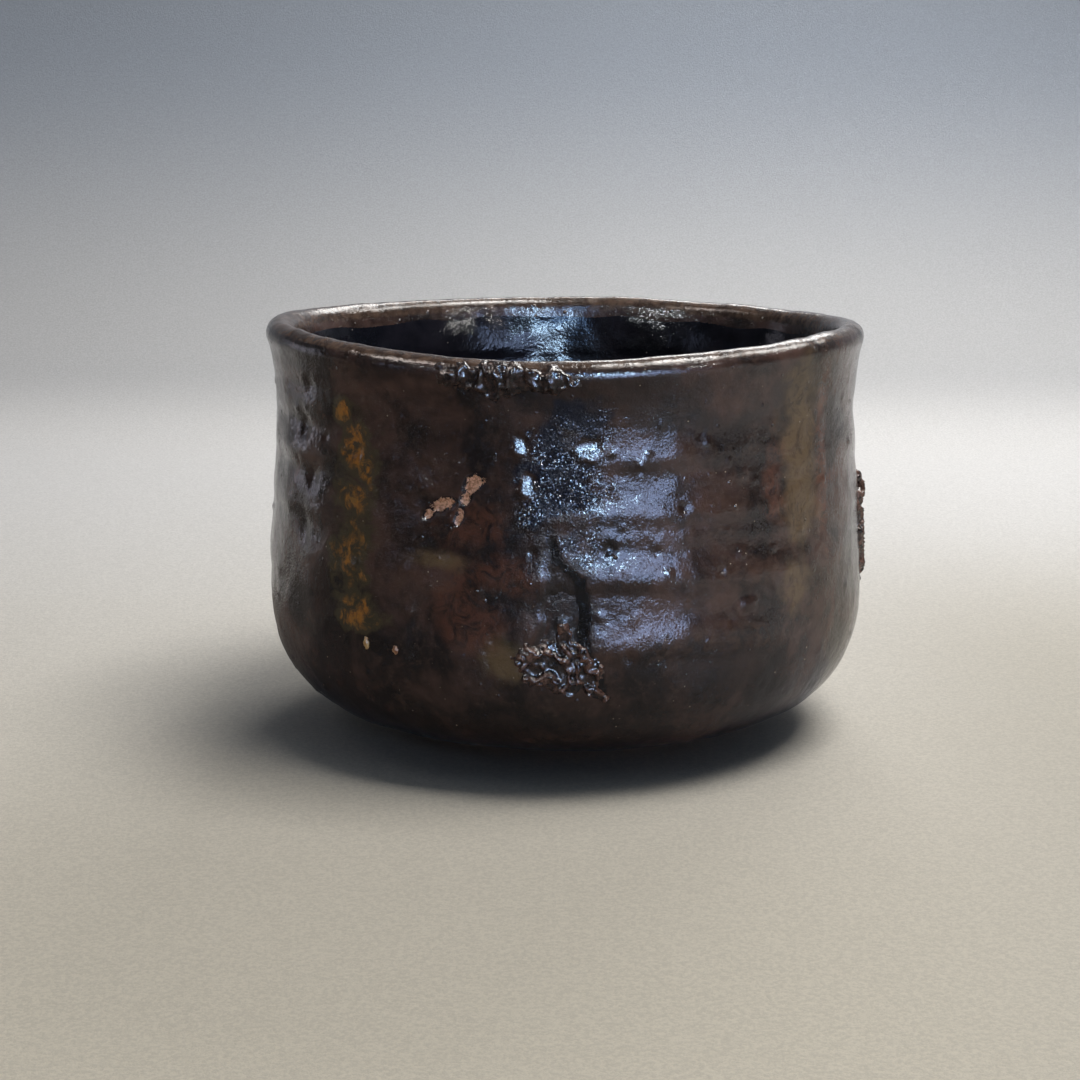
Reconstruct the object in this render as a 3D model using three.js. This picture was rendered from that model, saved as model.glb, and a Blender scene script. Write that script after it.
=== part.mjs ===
// A hand-shaped tea bowl for whisking matcha: a thrown clay cup on a luted foot ring, a black glaze
// coat poured inside, a brown-black coat brushed outside and over the lip, and the lumps that the kiln
// left on the wall. Millimetres, +Z up, origin under the middle of the foot on the surface it stands on.
// The bowl's front faces -Y, and an azimuth is measured from the front towards +X.

import * as THREE from "three";

// Heights and radii of the finished, glazed bowl, before the hand-shaping.
const RIM_HEIGHT = 82.3;
const RIM_RADIUS = 60;
const WAIST_DROP = 16.3; // from the rim down to the waist, where the wall is narrowest
const WAIST_RADIUS = 58;
const FLARE_EASE = 0.35; // how gently the wall bends into and out of the flare, as a share of its height
const BELLY_EASE = 0.36; // the same for the wall above the belly,
const WAIST_EASE = 0.22; // for the wall below the waist,
const WELL_EASE = 0.3; // and for the well's wall
const LIP_LEAN = 18; // degrees that the lip leans outwards
const BELLY_HEIGHT = 27;
const BELLY_RADIUS = 60.5;
const TURN_WIDTH = 16.5; // how far the curve from the belly to the underside reaches inwards
const UNDERSIDE_HEIGHT = 6;
const WELL_FLOOR_HEIGHT = 12.2;
const WELL_TURN = 21; // radius of the curve between the well's wall and its floor
const POOL_RADIUS = 17; // the shallow tea pool in the middle of the well
const POOL_DEPTH = 0.9;
const waistHeight = RIM_HEIGHT - WAIST_DROP;

// Thicknesses and clearances.
const CLAY_WALL = 3.7;
const GLAZE = 0.7;
const SEAT_GAP = 0.3; // between fused pieces that touch
const SKIN = GLAZE + SEAT_GAP;
const WALL = CLAY_WALL + 2 * SKIN;

// Foot ring.
const FOOT_RADIUS = 27.5;
const FOOT_WIDTH = 6.5;
const FOOT_CHAMFER = 1;
const FOOT_DRAFT = 0.8; // how much narrower the ring is at the floor than where it is luted on

// Where each glaze coat ends.
const GLAZE_LINE_INSET = 5; // on the underside, inside of where its curve up to the belly starts
const LAP_DEPTH = 6.5; // below the rim, inside, where the outer coat ends and the inner one starts
const turnRadius = BELLY_RADIUS - TURN_WIDTH; // where the underside's curve starts
const glazeLineRadius = turnRadius - GLAZE_LINE_INSET;

// Hand-shaping: each wave has a number of lobes, a size, and the azimuth of a crest in degrees.
const RIM_WAVES = [
  { lobes: 1, size: 0.7, crest: -20 },
  { lobes: 2, size: 0.8, crest: 77 },
  { lobes: 3, size: 0.55, crest: 54 },
];
const PLAN_WAVES = [
  { lobes: 2, size: 0.35, crest: 90 },
  { lobes: 3, size: 0.45, crest: 20 },
];

const AROUND = 40; // facets round the bowl

// Kiln lumps on the outside: azimuth in degrees, the others in millimetres.
const CRUSTS = [
  { name: "front_crust", azimuth: -1, height: 26, halfWidth: 9.5, halfHeight: 6, thickness: 1.1 },
  { name: "lip_crust", azimuth: -15, height: RIM_HEIGHT - 7.3, halfWidth: 12, halfHeight: 2.4, thickness: 0.9 },
  { name: "side_crust", azimuth: 86, height: 41.5, halfWidth: 6, halfHeight: 12.5, thickness: 1.2 },
];
const GRAINS = [
  { name: "cream_stone_grain", azimuth: -37.9, height: 27.5, halfWidth: 0.9, halfHeight: 1.3, thickness: 0.7 },
  { name: "peach_stone_grain", azimuth: -31.3, height: 27.2, halfWidth: 0.9, halfHeight: 0.9, thickness: 0.6 },
];

const MATERIALS = {
  clay: new THREE.MeshStandardMaterial({ color: 0xa2735a, roughness: 0.85 }),
  outerGlaze: new THREE.MeshStandardMaterial({ color: 0x2a2320, roughness: 0.2 }),
  innerGlaze: new THREE.MeshStandardMaterial({ color: 0x101218, roughness: 0.12 }),
  crust: new THREE.MeshStandardMaterial({ color: 0x3a2d29, roughness: 0.3 }),
  creamStone: new THREE.MeshStandardMaterial({ color: 0xd9b98a, roughness: 0.5 }),
  peachStone: new THREE.MeshStandardMaterial({ color: 0xc08a63, roughness: 0.5 }),
};

const radians = THREE.MathUtils.degToRad;

// ---- The outline of the finished bowl ----

const line = (a, b) => new THREE.LineCurve(new THREE.Vector2(...a), new THREE.Vector2(...b));
const bend = (...points) => new THREE.CubicBezierCurve(...points.map((p) => new THREE.Vector2(...p)));
const halfTurn = (x, y, radius, lean) => new THREE.EllipseCurve(x, y, radius, radius, -lean, Math.PI - lean);

// One face of the wall from the waist up to where it turns into the lip, at the lip's lean.
function flare(waistRadius, lipEnd) {
  const ease = FLARE_EASE * (lipEnd.y - waistHeight);
  return bend(
    [waistRadius, waistHeight],
    [waistRadius, waistHeight + ease],
    [lipEnd.x - ease * Math.tan(radians(LIP_LEAN)), lipEnd.y - ease],
    [lipEnd.x, lipEnd.y],
  );
}

// Half of the bowl's section as a chain of points: along the underside from the foot, up the outside,
// over the lip, down the inside, and across the well's floor to the axis.
function finishedOutline() {
  const lipRadius = WALL / 2;
  const innerBelly = BELLY_RADIUS - WALL;
  const innerWaist = WAIST_RADIUS - WALL;
  const floorEdge = WELL_FLOOR_HEIGHT + POOL_DEPTH;
  const wallRise = waistHeight - BELLY_HEIGHT;
  const outline = [];
  const add = (curve, pieces, downwards = false) => {
    const points = curve.getPoints(pieces);
    if (downwards) points.reverse();
    outline.push(...points.slice(outline.length ? 1 : 0));
  };

  add(line([FOOT_RADIUS, UNDERSIDE_HEIGHT], [glazeLineRadius, UNDERSIDE_HEIGHT]), 1);
  add(line([glazeLineRadius, UNDERSIDE_HEIGHT], [turnRadius, UNDERSIDE_HEIGHT]), 1);
  const turnHeight = BELLY_HEIGHT - UNDERSIDE_HEIGHT;
  add(new THREE.EllipseCurve(turnRadius, BELLY_HEIGHT, TURN_WIDTH, turnHeight, -Math.PI / 2, 0), 7);
  add(
    bend(
      [BELLY_RADIUS, BELLY_HEIGHT],
      [BELLY_RADIUS, BELLY_HEIGHT + BELLY_EASE * wallRise],
      [WAIST_RADIUS, waistHeight - WAIST_EASE * wallRise],
      [WAIST_RADIUS, waistHeight],
    ),
    7,
  );
  const lip = halfTurn(RIM_RADIUS - lipRadius, RIM_HEIGHT - lipRadius, lipRadius, radians(LIP_LEAN));
  add(flare(WAIST_RADIUS, lip.getPoint(0)), 4);
  add(lip, 8);
  add(flare(innerWaist, lip.getPoint(1)), 4, true);
  const wellTurnTop = floorEdge + WELL_TURN;
  const wellRise = waistHeight - wellTurnTop;
  add(
    bend(
      [innerWaist, waistHeight],
      [innerWaist, waistHeight - WELL_EASE * wellRise],
      [innerBelly, wellTurnTop + WELL_EASE * wellRise],
      [innerBelly, wellTurnTop],
    ),
    6,
  );
  const floorRadius = innerBelly - WELL_TURN;
  add(new THREE.EllipseCurve(floorRadius, wellTurnTop, WELL_TURN, WELL_TURN, 0, -Math.PI / 2, true), 6);
  add(
    bend(
      [floorRadius, floorEdge],
      [(floorRadius + POOL_RADIUS) / 2, floorEdge],
      [POOL_RADIUS, WELL_FLOOR_HEIGHT],
      [0, WELL_FLOOR_HEIGHT],
    ),
    4,
  );
  return outline;
}

// The outline moved into the material by a depth, square to itself.
function sunk(outline, depth) {
  return outline.map((p, i) => {
    const before = outline[Math.max(i - 1, 0)];
    const after = outline[Math.min(i + 1, outline.length - 1)];
    const along = after.clone().sub(before).normalize();
    const moved = new THREE.Vector2(p.x - depth * along.y, p.y + depth * along.x);
    return p.x === 0 ? new THREE.Vector2(0, p.y - depth) : moved;
  });
}

const finished = finishedOutline();
const glazeBack = sunk(finished, GLAZE);
const clayFace = sunk(finished, SKIN);
const glazeStart = finished.findIndex((p) => p.x >= glazeLineRadius);
const crest = finished.reduce((best, p, i) => (p.y > finished[best].y ? i : best), 0);
const lap = finished.findIndex((p, i) => i > crest && p.y <= RIM_HEIGHT - LAP_DEPTH);

// ---- Turning an outline into a hand-shaped solid ----

const waveAt = (waves, azimuth) =>
  waves.reduce((sum, w) => sum + w.size * Math.cos(w.lobes * (azimuth - radians(w.crest))), 0);

// How much of the hand-shaping a height takes: none at the foot, all of it at the rim.
const shareAt = (z) => THREE.MathUtils.clamp((z - UNDERSIDE_HEIGHT) / (RIM_HEIGHT - UNDERSIDE_HEIGHT), 0, 1);

// Moves a point of the true round bowl to where the potter's hands left it.
function handShape(p) {
  const radius = Math.hypot(p.x, p.y);
  const azimuth = Math.atan2(p.x, -p.y);
  const share = shareAt(p.z);
  const reach = radius / RIM_RADIUS;
  const grown = radius + waveAt(PLAN_WAVES, azimuth) * share * reach;
  const lift = waveAt(RIM_WAVES, azimuth) * share * share * reach;
  return new THREE.Vector3(grown * Math.sin(azimuth), -grown * Math.cos(azimuth), p.z + lift);
}

function reshape(geometry, move) {
  const position = geometry.getAttribute("position");
  const p = new THREE.Vector3();
  for (let i = 0; i < position.count; i++) {
    p.fromBufferAttribute(position, i);
    const q = move(p);
    position.setXYZ(i, q.x, q.y, q.z);
  }
  geometry.computeVertexNormals();
  return geometry;
}

// Spins a section round the axis. LatheGeometry turns about Y, so the result is stood up on Z.
function turned(name, section, material) {
  const geometry = new THREE.LatheGeometry(section, AROUND).rotateX(Math.PI / 2);
  const mesh = new THREE.Mesh(reshape(geometry, handShape), material);
  mesh.name = name;
  return mesh;
}

const closed = (points) => [...points, points[0]];

// ---- The pieces ----

function clayBody() {
  const recessCeiling = new THREE.Vector2(0, clayFace[0].y);
  return turned("clay_body", [recessCeiling, ...clayFace], MATERIALS.clay);
}

function footRing() {
  const top = clayFace[0].y - SEAT_GAP;
  const inner = FOOT_RADIUS - FOOT_WIDTH;
  const section = [
    [inner + FOOT_CHAMFER, 0],
    [FOOT_RADIUS - FOOT_DRAFT - FOOT_CHAMFER, 0],
    [FOOT_RADIUS - FOOT_DRAFT, FOOT_CHAMFER],
    [FOOT_RADIUS, top],
    [inner, top],
    [inner, FOOT_CHAMFER],
  ];
  return turned("foot_ring", closed(section.map((p) => new THREE.Vector2(...p))), MATERIALS.clay);
}

function outerGlaze() {
  const face = finished.slice(glazeStart, lap + 1);
  const back = glazeBack.slice(glazeStart, lap + 1).reverse();
  return turned("outer_glaze", closed([...face, ...back]), MATERIALS.outerGlaze);
}

// The inner coat starts a seat gap below the outer one's edge and covers the well to its middle.
function innerGlaze() {
  const drop = (points) => {
    const along = points[lap + 1].clone().sub(points[lap]);
    return points[lap].clone().addScaledVector(along, SEAT_GAP / along.length());
  };
  const face = [drop(finished), ...finished.slice(lap + 1)];
  const back = [drop(glazeBack), ...glazeBack.slice(lap + 1)].reverse();
  return turned("inner_glaze", [...back, ...face], MATERIALS.innerGlaze);
}

// The finished outer wall at a height: its radius, and the outward slope of its surface.
function wallAt(height) {
  const i = finished.findIndex((p, k) => k > glazeStart && k <= crest && p.y >= height);
  const low = finished[i - 1];
  const high = finished[i];
  const share = (height - low.y) / (high.y - low.y);
  const along = high.clone().sub(low).normalize();
  return { radius: THREE.MathUtils.lerp(low.x, high.x, share), outward: along.y, upward: -along.x };
}

// A lump that hugs the outer wall: a sphere flattened onto it, standing a seat gap off the glaze.
function lump({ name, azimuth, height, halfWidth, halfHeight, thickness }, detail, material) {
  const geometry = new THREE.SphereGeometry(1, 2 * detail, detail).rotateX(Math.PI / 2);
  const onWall = (p) => {
    const wall = wallAt(height + p.y * halfHeight);
    const angle = radians(azimuth) + (p.x * halfWidth) / wall.radius;
    const stand = SEAT_GAP + (thickness * (1 + p.z)) / 2;
    const radius = wall.radius + wall.outward * stand;
    const z = height + p.y * halfHeight + wall.upward * stand;
    return handShape(new THREE.Vector3(radius * Math.sin(angle), -radius * Math.cos(angle), z));
  };
  const mesh = new THREE.Mesh(reshape(geometry, onWall), material);
  mesh.name = name;
  return mesh;
}

const bowl = new THREE.Group();
bowl.add(clayBody(), footRing(), innerGlaze(), outerGlaze());
bowl.add(...CRUSTS.map((spec) => lump(spec, 9, MATERIALS.crust)));
const [creamGrain, peachGrain] = GRAINS;
bowl.add(lump(creamGrain, 6, MATERIALS.creamStone), lump(peachGrain, 6, MATERIALS.peachStone));

export default bowl;
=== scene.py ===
"""A hand-shaped tea bowl for matcha: brown-black glaze over the wall and the lip, a blue-black well,
a bare clay foot, and the crusts, chips and grains that the kiln left on it.

The pieces are modelled in millimetres and scaled to metres when they are finished. An azimuth is in
degrees round the bowl, from its front, -Y, towards +X.
"""

import math
import random

import bmesh
import bpy
import numpy as np
from mathutils import Matrix, Vector, noise


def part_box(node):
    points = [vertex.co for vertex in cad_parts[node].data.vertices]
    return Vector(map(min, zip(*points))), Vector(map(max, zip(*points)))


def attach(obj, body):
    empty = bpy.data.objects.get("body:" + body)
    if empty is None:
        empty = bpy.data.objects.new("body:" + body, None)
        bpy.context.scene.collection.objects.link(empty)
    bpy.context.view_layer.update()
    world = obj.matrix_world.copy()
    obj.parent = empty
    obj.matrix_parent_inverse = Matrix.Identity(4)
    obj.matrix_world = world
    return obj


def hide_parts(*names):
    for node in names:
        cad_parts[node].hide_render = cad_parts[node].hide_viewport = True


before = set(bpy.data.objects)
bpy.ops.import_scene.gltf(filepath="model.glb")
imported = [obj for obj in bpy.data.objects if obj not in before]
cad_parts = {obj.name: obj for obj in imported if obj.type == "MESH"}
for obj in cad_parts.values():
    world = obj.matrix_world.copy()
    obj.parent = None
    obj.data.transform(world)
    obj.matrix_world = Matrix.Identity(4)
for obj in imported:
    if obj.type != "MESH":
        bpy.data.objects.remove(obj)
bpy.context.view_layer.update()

MM = 0.001
BODY = "root"


def box_mm(node):
    """A CAD node's lowest and highest corners in millimetres."""
    return [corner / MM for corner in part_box(node)]


# ---- The bowl's sizes ----

coat_low = box_mm("outer_glaze")[0]
clay_low = box_mm("clay_body")[0]
foot_high = box_mm("foot_ring")[1]
well_low = box_mm("inner_glaze")[0]

RIM_HEIGHT = 82.3
RIM_RADIUS = 60.0
WAIST_DROP = 16.3
WAIST_RADIUS = 58.0
BELLY_HEIGHT = 27.0
BELLY_RADIUS = 60.5
TURN_WIDTH = 16.5
WALL = 5.7
GLAZE = 0.7
WELL_TURN = 21.0
POOL_RADIUS = 17.0
POOL_DEPTH = 0.9
LIP_LEAN = math.radians(18)
UNDERSIDE = coat_low.z
FOOT_RADIUS = foot_high.x
FOOT_WIDTH = 6.5
WELL_FLOOR = well_low.z + GLAZE
GLAZE_LINE = 39.0  # radius on the underside where the outer coat ends
CHIP_DEPTH = 0.4
HIDDEN = 1.9  # how deep the clay lies under the glazed faces, so that no scrape reaches it
LAP_DROP = 4.6  # below the rim, inside, where the outer coat fades into the inner one
RIM_WAVES = [(1, 0.7, -20), (2, 0.8, 77), (3, 0.55, 54)]  # lobes, size, azimuth of a crest
PLAN_WAVES = [(2, 0.35, 90), (3, 0.45, 20)]
COAT_COLUMNS = 464  # round the outer coat, crowded towards the front, where the detail is
COAT_CROWDING = 0.4
WELL_COLUMNS = 360
CLAY_COLUMNS = 240
FOOT_COLUMNS = 300
CRUST_FINENESS = 9  # faces to a millimetre
CARD_LIFT = 0.0006  # metres between the floor and a card on it


# ---- Outlines ----

def line(a, b, count):
    """Points from a to b."""
    return np.linspace(a, b, count + 1)


def arc(x, z, rx, rz, start, end, count):
    """Points on an ellipse about (x, z), between two angles in degrees."""
    t = np.radians(np.linspace(start, end, count + 1))
    return np.stack([x + rx * np.cos(t), z + rz * np.sin(t)], 1)


def bend(a, b, c, d, count):
    """Points on the curve that leaves a towards b and reaches d from c."""
    t = np.linspace(0, 1, count + 1)[:, None]
    a, b, c, d = (np.array(p, float) for p in (a, b, c, d))
    return (1 - t) ** 3 * a + 3 * (1 - t) ** 2 * t * b + 3 * (1 - t) * t**2 * c + t**3 * d


def joined(*runs):
    """One chain from several runs of points, each starting where the last one ends."""
    return np.concatenate([runs[0]] + [run[1:] for run in runs[1:]])


def sunk(chain, depth):
    """The chain moved into the material by a depth, square to itself."""
    along = np.gradient(chain, axis=0)
    along /= np.linalg.norm(along, axis=1)[:, None]
    return chain + depth * np.stack([-along[:, 1], along[:, 0]], 1)


def flare(waist_radius, end, count):
    """One face of the wall from the waist up to where it turns into the lip."""
    waist = RIM_HEIGHT - WAIST_DROP
    ease = 0.35 * (end[1] - waist)
    before_end = (end[0] - ease * math.tan(LIP_LEAN), end[1] - ease)
    return bend((waist_radius, waist), (waist_radius, waist + ease), before_end, end, count)


def outside():
    """The finished section from the underside up to the waist, over the lip, to the inner waist."""
    turn = BELLY_RADIUS - TURN_WIDTH
    waist = RIM_HEIGHT - WAIST_DROP
    rise = waist - BELLY_HEIGHT
    lip = WALL / 2
    lean = math.degrees(LIP_LEAN)
    over = arc(RIM_RADIUS - lip, RIM_HEIGHT - lip, lip, lip, -lean, 180 - lean, 20)
    return joined(
        line((GLAZE_LINE - 3, UNDERSIDE), (turn, UNDERSIDE), 12),
        arc(turn, BELLY_HEIGHT, TURN_WIDTH, BELLY_HEIGHT - UNDERSIDE, -90, 0, 46),
        bend(
            (BELLY_RADIUS, BELLY_HEIGHT),
            (BELLY_RADIUS, BELLY_HEIGHT + 0.36 * rise),
            (WAIST_RADIUS, waist - 0.22 * rise),
            (WAIST_RADIUS, waist),
            80,
        ),
        flare(WAIST_RADIUS, over[0], 26),
        over,
        flare(WAIST_RADIUS - WALL, over[-1], 26)[::-1],
    )


def inside():
    """The finished section from the lip down the well to the axis."""
    edge = WELL_FLOOR + POOL_DEPTH
    top = edge + WELL_TURN
    waist = RIM_HEIGHT - WAIST_DROP
    inner_belly = BELLY_RADIUS - WALL
    inner_waist = WAIST_RADIUS - WALL
    floor_radius = inner_belly - WELL_TURN
    rise = waist - top
    lip = WALL / 2
    lean = math.degrees(LIP_LEAN)
    over = arc(RIM_RADIUS - lip, RIM_HEIGHT - lip, lip, lip, -lean, 180 - lean, 20)
    return joined(
        flare(inner_waist, over[-1], 20)[::-1],
        bend(
            (inner_waist, waist),
            (inner_waist, waist - 0.3 * rise),
            (inner_belly, top + 0.3 * rise),
            (inner_belly, top),
            44,
        ),
        arc(floor_radius, top, WELL_TURN, WELL_TURN, 0, -90, 40),
        bend(
            (floor_radius, edge),
            ((floor_radius + POOL_RADIUS) / 2, edge),
            (POOL_RADIUS, WELL_FLOOR),
            (0, WELL_FLOOR),
            40,
        ),
    )


OUTSIDE = outside()
CREST = int(OUTSIDE[:, 1].argmax())


def wall_at(height):
    """The outer wall's radius at each height, and the outward and upward share of its face."""
    face = OUTSIDE[12:CREST]
    along = np.gradient(face, axis=0)
    along /= np.linalg.norm(along, axis=1)[:, None]
    radius = np.interp(height, face[:, 1], face[:, 0])
    outward = np.interp(height, face[:, 1], along[:, 1])
    upward = np.interp(height, face[:, 1], -along[:, 0])
    return radius, outward, upward


def wave_at(waves, azimuth):
    """The sum of the waves at an azimuth in radians."""
    return sum(size * np.cos(lobes * (azimuth - math.radians(crest))) for lobes, size, crest in waves)


def hand_shaped(azimuth, radius, height):
    """Where the potter's hands left points of the true round bowl."""
    share = np.clip((height - UNDERSIDE) / (RIM_HEIGHT - UNDERSIDE), 0, 1)
    reach = radius / RIM_RADIUS
    grown = radius + wave_at(PLAN_WAVES, azimuth) * share * reach
    lift = wave_at(RIM_WAVES, azimuth) * share**2 * reach
    return np.stack([grown * np.sin(azimuth), -grown * np.cos(azimuth), height + lift], 1)


# ---- Surface relief ----

def smooth(low, high, x):
    """0 below low, 1 above high, and an even rise between."""
    t = np.clip((x - low) / (high - low), 0, 1)
    return t * t * (3 - 2 * t)


def lumps(points, size, seed, octaves=1):
    """Even lumps of a size in millimetres at each point, from about -1 to 1."""
    spots = points / size + np.array([7.3, 1.9, 4.7]) * seed
    return np.array([noise.fractal(p, 1.0, 2.0, octaves) for p in spots.tolist()])


def creases(points, size, seed):
    """Sharp curling ridges, 1 on a ridge and 0 between."""
    return 1 - np.clip(np.abs(lumps(points, size, seed)) * 3, 0, 1)


# The potter's finger ridges: height, size, azimuth of the strongest stretch, how far it reaches.
RIDGES = [
    (64.4, 0.42, 18, 26), (54.0, 0.42, 16, 26), (41.4, 0.5, 5, 60), (29.4, 0.85, 20, 24),
    (76.0, 0.45, -64, 14), (68.5, 0.6, -64, 16), (60.0, 0.65, -64, 16), (50.0, 0.6, -64, 16),
    (36.0, 0.25, -75, 30), (70.0, 0.35, 110, 40), (59.0, 0.4, 118, 45), (48.0, 0.4, 112, 45),
    (37.0, 0.35, 120, 40), (72.0, 0.35, -160, 50), (61.0, 0.42, -155, 50), (50.0, 0.45, -165, 50),
    (38.5, 0.4, -150, 50), (27.5, 0.25, 170, 60),
]
RIDGE_FALL = 7.0
RIDGE_UNDERCUT = 3.6

# Pits, below zero, and bumps, above: azimuth, height, radius, size.
BLISTERS = [
    (-41.9, 62.2, 1.1, -0.45), (-40.7, 43.1, 1.2, -0.5), (7.5, 48.1, 1.3, -0.5),
    (10.9, 27.9, 1.1, -0.4), (30.2, 33.2, 0.9, -0.35), (33.0, 36.0, 1.3, 0.3),
    (28.1, 42.7, 0.8, -0.3), (40.3, 43.9, 0.8, -0.3), (21.3, 54.6, 1.0, -0.3),
    (20.0, 27.0, 0.8, -0.25), (-28.6, 43.8, 2.6, 0.45),
    (-56.0, 73.0, 2.2, -0.3), (-59.0, 64.5, 2.4, -0.4), (-55.5, 56.0, 2.4, -0.4), (-58.0, 46.0, 2.6, -0.35),
    (13.3, 62.8, 1.0, 0.4), (32.6, 45.1, 1.0, 0.4), (48.0, 47.0, 0.8, 0.35), (40.0, 38.0, 0.7, 0.3),
    (26.0, 66.0, 0.8, 0.35), (-31.0, 70.0, 0.7, 0.35), (-20.0, 68.0, 0.8, 0.35), (-33.0, 62.0, 0.7, 0.35),
    (-29.0, 57.0, 0.7, 0.35), (36.0, 58.0, 0.7, 0.3), (17.0, 70.0, 0.7, 0.3), (-14.0, 71.0, 0.7, 0.3),
    (10.0, 52.0, 0.7, 0.25), (22.0, 15.0, 0.7, 0.3),
    (29.0, 13.0, 0.8, 0.3), (34.0, 16.0, 0.7, 0.25), (-47.0, 19.0, 0.7, 0.25),
]
# Places pressed to face a little upwards and sideways: azimuth, height, half width, half height,
# slope up, slope to the right.
PRESSED = [
    (-8.3, 66.9, 1.6, 1.9, 0.27, 0.26), (-6.8, 59.4, 1.5, 2.6, 0.2, 0.23),
    (-0.6, 37.5, 2.0, 3.6, 0.1, 0.0), (-28.6, 43.8, 2.0, 1.8, 0.18, 0.0), (-26, 60, 1.4, 3.0, 0.15, 0.1),
    (-24.5, 59.0, 0.9, 1.2, 0.2, 0.15), (33.5, 36.5, 2.2, 1.6, 0.15, -0.12),
    (-10.8, 27.0, 3.2, 4.2, 0.1, -0.12), (4.0, 66.0, 2.4, 2.0, 0.24, 0.04),
]
# Where glaze came away from the clay: azimuth, height, half width, half height, lean in degrees.
CHIPS = [
    (-16.6, 59.6, 2.3, 1.5, 35), (-18.0, 56.8, 1.5, 0.9, 60), (-22.6, 55.2, 2.8, 1.1, 20),
    (-19.2, 53.2, 0.8, 1.7, -15), (-25.2, 53.2, 1.2, 0.8, 40),
]
# The scrape down the front: height, azimuth of its left and right edges, depth.
SCRAPE = np.array([
    (53.0, -3.0, -2.4, 0.0), (49.5, -3.8, -1.3, 0.25), (45.9, -4.2, -0.1, 0.4),
    (42.6, -4.4, 3.6, 0.7), (38.0, -4.6, 4.3, 0.85), (34.0, -4.8, 4.5, 0.85),
    (30.0, -6.8, 4.2, 0.75), (27.5, -8.0, 5.7, 0.6), (25.0, -8.0, 6.7, 0.45),
    (20.0, -6.0, 7.8, 0.15), (18.0, -4.0, 8.0, 0.0),
])[::-1]


def scattered_blisters():
    """Small pits and bumps all round the wall."""
    draw = random.Random(11)
    spots = []
    for _ in range(190):
        size = draw.choice((-1, 1, 1)) * draw.uniform(0.1, 0.32)
        spots.append((draw.uniform(-180, 180), draw.uniform(9, 76), draw.uniform(0.5, 0.9), size))
    return spots


def away(azimuth, height, at_azimuth, at_height):
    """How far points of the wall lie from a place on it, sideways and up, in millimetres."""
    turn = (azimuth - math.radians(at_azimuth) + math.pi) % math.tau - math.pi
    return turn * BELLY_RADIUS, height - at_height


def blister_relief(azimuth, height, spots):
    """Every pit and bump on the wall."""
    warp = 0.6 * lumps(spots, 1.7, 12) + 0.9 * lumps(spots, 0.8, 13)
    relief = np.zeros_like(azimuth)
    for at, up, radius, size in BLISTERS + scattered_blisters():
        x, z = away(azimuth, height, at, up)
        near = np.hypot(x, z) < 3 * radius
        d = np.hypot(x[near], z[near] * 0.85) / radius * (1 + 0.45 * warp[near])
        ring = 0.18 * abs(size) * np.exp(-(((d - 1.3) / 0.5) ** 2)) if size < 0 else 0
        relief[near] += size * np.exp(-1.6 * d**2) + ring
    return relief


def pressed_relief(azimuth, height, spots):
    """The small tilted places that catch the light, and a mask of them."""
    warp = 0.35 * lumps(spots, 1.4, 14)
    relief = np.zeros_like(azimuth)
    mask = np.zeros_like(azimuth)
    for at, up, half_width, half_height, slope_up, slope_right in PRESSED:
        x, z = away(azimuth, height, at, up)
        share = 1 - smooth(0.7, 1.35, np.hypot(x / half_width, z / half_height) + warp)
        relief -= share * (slope_up * z + slope_right * x)
        mask = np.maximum(mask, share)
    return relief, mask


def ridge_relief(azimuth, height, spots):
    """The potter's finger ridges: each falls gently above its crest and is undercut below."""
    wander = 1.5 * lumps(spots, 32, 3) + 0.7 * lumps(spots, 10, 9)
    strength = 0.9 + 0.6 * lumps(spots, 15, 4)
    relief = np.zeros_like(azimuth)
    for crest, size, at, reach in RIDGES:
        x, t = away(azimuth, height - wander, at, crest)
        t = np.where(t > 0, t / RIDGE_FALL, -t / RIDGE_UNDERCUT)
        here = 0.12 + 0.88 * np.exp(-((x / reach) ** 4))
        relief += here * size * 0.5 * (1 + np.cos(math.pi * np.clip(t, 0, 1)))
    return relief * np.clip(strength, 0.2, 1.4)


def scrape_depth(azimuth, height, spots):
    """How deep the scrape down the front is, and a mask of the slope along its right edge, where shade is
    painted.
    """
    degrees = np.degrees(azimuth) + 0.35 * lumps(spots, 1.8, 21)
    left = np.interp(height, SCRAPE[:, 0], SCRAPE[:, 1])
    right = np.interp(height, SCRAPE[:, 0], SCRAPE[:, 2])
    depth = np.interp(height, SCRAPE[:, 0], SCRAPE[:, 3])
    from_right = np.clip((right - degrees) / 2.6, 0, 1)
    from_left = np.clip((degrees - left) / 1.6, 0, 1)
    shaded_slope = smooth(0, 0.15, from_right) * (1 - smooth(0.75, 1.0, from_right)) * smooth(0, 0.3, depth)
    return depth * np.minimum(from_right, from_left), shaded_slope


def chip_mask(azimuth, height, spots):
    """1 where the glaze came away from the clay."""
    mask = np.zeros_like(azimuth)
    ragged = 0.45 * lumps(spots, 0.9, 31) + 0.3 * lumps(spots, 2.2, 32)
    for at, up, half_width, half_height, lean in CHIPS:
        x, z = away(azimuth, height, at, up)
        c, s = math.cos(math.radians(lean)), math.sin(math.radians(lean))
        d = np.hypot((c * x + s * z) / half_width, (c * z - s * x) / half_height)
        mask = np.maximum(mask, 1 - smooth(0.35, 1.6, d + 0.5 * ragged))
    return mask


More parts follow.
